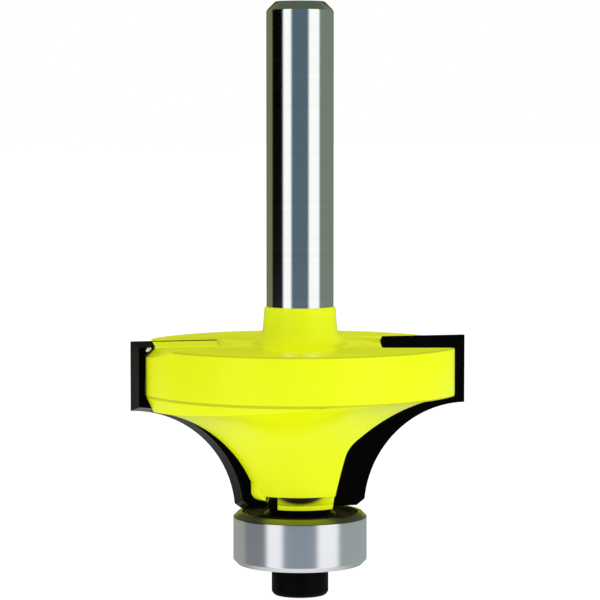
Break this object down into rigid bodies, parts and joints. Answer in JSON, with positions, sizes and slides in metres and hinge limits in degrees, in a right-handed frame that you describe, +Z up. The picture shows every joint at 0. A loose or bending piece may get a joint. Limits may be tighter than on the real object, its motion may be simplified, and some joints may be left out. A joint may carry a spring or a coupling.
{
  "type": "rounding-over router bit",
  "caption": "Two-wing rounding-over router bit: round shank, painted body with brazed carbide tips, and a guide bearing held by a socket screw.",
  "frame": {"origin": "on the spinning axis, at the underside of the bearing screw's head", "axes": "+Z up the spinning axis towards the shank's free end; the two wings lie along +X and -X"},
  "size_m": [0.0326, 0.0306, 0.0563],
  "materials": {
    "painted_body": "gloss yellow enamel on the body and collar; the shank is bare ground steel",
    "carbide": "ground tungsten carbide",
    "bearing_steel": "ground and polished",
    "cage_steel": "pressed steel",
    "ball_steel": "polished",
    "seal_rubber": "matt black",
    "screw_steel": "black oxide"
  },
  "bodies": {
    "cutter": {"cutter_body": "painted_body", "carbide_tip_right": "carbide", "carbide_tip_left": "carbide", "bearing_inner_ring": "bearing_steel", "bearing_screw": "screw_steel"},
    "guide_ring": {"bearing_outer_ring": "bearing_steel", "bearing_seal_lower": "seal_rubber", "bearing_seal_upper": "seal_rubber"},
    "ball_train": {"bearing_cage": "cage_steel", "bearing_ball_1": "ball_steel", "bearing_ball_2": "ball_steel", "bearing_ball_3": "ball_steel", "bearing_ball_4": "ball_steel", "bearing_ball_5": "ball_steel", "bearing_ball_6": "ball_steel", "bearing_ball_7": "ball_steel"}
  },
  "joints": [
    {"name": "bearing_spin", "type": "hinge", "parent": "cutter", "child": "guide_ring", "pos_m": [0, 0, 0.00549], "axis": [0, 0, 1], "continuous": true},
    {"name": "cage_spin", "type": "hinge", "parent": "cutter", "child": "ball_train", "pos_m": [0, 0, 0.00549], "axis": [0, 0, 1], "continuous": true}
  ],
  "couplings": [
    {"joint": "cage_spin", "follows": "bearing_spin", "ratio": 0.6364}
  ]
}
